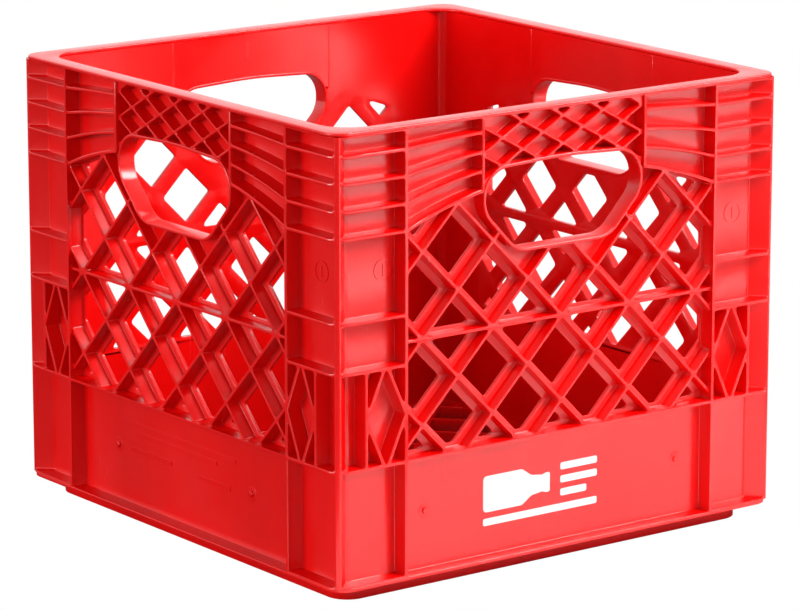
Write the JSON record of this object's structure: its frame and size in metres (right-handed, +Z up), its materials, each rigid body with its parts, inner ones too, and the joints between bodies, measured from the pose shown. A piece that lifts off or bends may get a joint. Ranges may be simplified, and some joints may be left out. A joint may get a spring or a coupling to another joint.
{
  "type": "milk bottle crate",
  "caption": "Open square stacking crate for milk bottles, with lattice walls, a hand hole in each wall and a stacking ring under its base.",
  "frame": {"origin": "bottom centre: the middle of the stacking ring's underside", "axes": "+Z up out of the open top, +X along the printed front wall to the right as seen from outside, the front wall faces -Y"},
  "size_m": [0.33, 0.33, 0.277],
  "materials": {
    "crate_red": "injection-moulded red high-density polyethylene, satin gloss"
  },
  "bodies": {
    "root": {"rim": "crate_red", "base_flange": "crate_red", "stacking_ring": "crate_red", "floor_grid": "crate_red", "front_lower_panel": "crate_red", "front_lower_lattice": "crate_red", "front_upper_lattice": "crate_red", "front_grip_collar": "crate_red", "front_grip_block": "crate_red", "front_fan_bay_left": "crate_red", "front_fan_bay_right": "crate_red", "right_lower_panel": "crate_red", "right_lower_lattice": "crate_red", "right_upper_lattice": "crate_red", "right_grip_collar": "crate_red", "right_grip_block": "crate_red", "right_fan_bay_left": "crate_red", "right_fan_bay_right": "crate_red", "back_lower_panel": "crate_red", "back_lower_lattice": "crate_red", "back_upper_lattice": "crate_red", "back_grip_collar": "crate_red", "back_grip_block": "crate_red", "back_fan_bay_left": "crate_red", "back_fan_bay_right": "crate_red", "left_lower_panel": "crate_red", "left_lower_lattice": "crate_red", "left_upper_lattice": "crate_red", "left_grip_collar": "crate_red", "left_grip_block": "crate_red", "left_fan_bay_left": "crate_red", "left_fan_bay_right": "crate_red", "corner_post_front_left": "crate_red", "corner_post_front_right": "crate_red", "corner_post_back_right": "crate_red", "corner_post_back_left": "crate_red"}
  },
  "joints": []
}
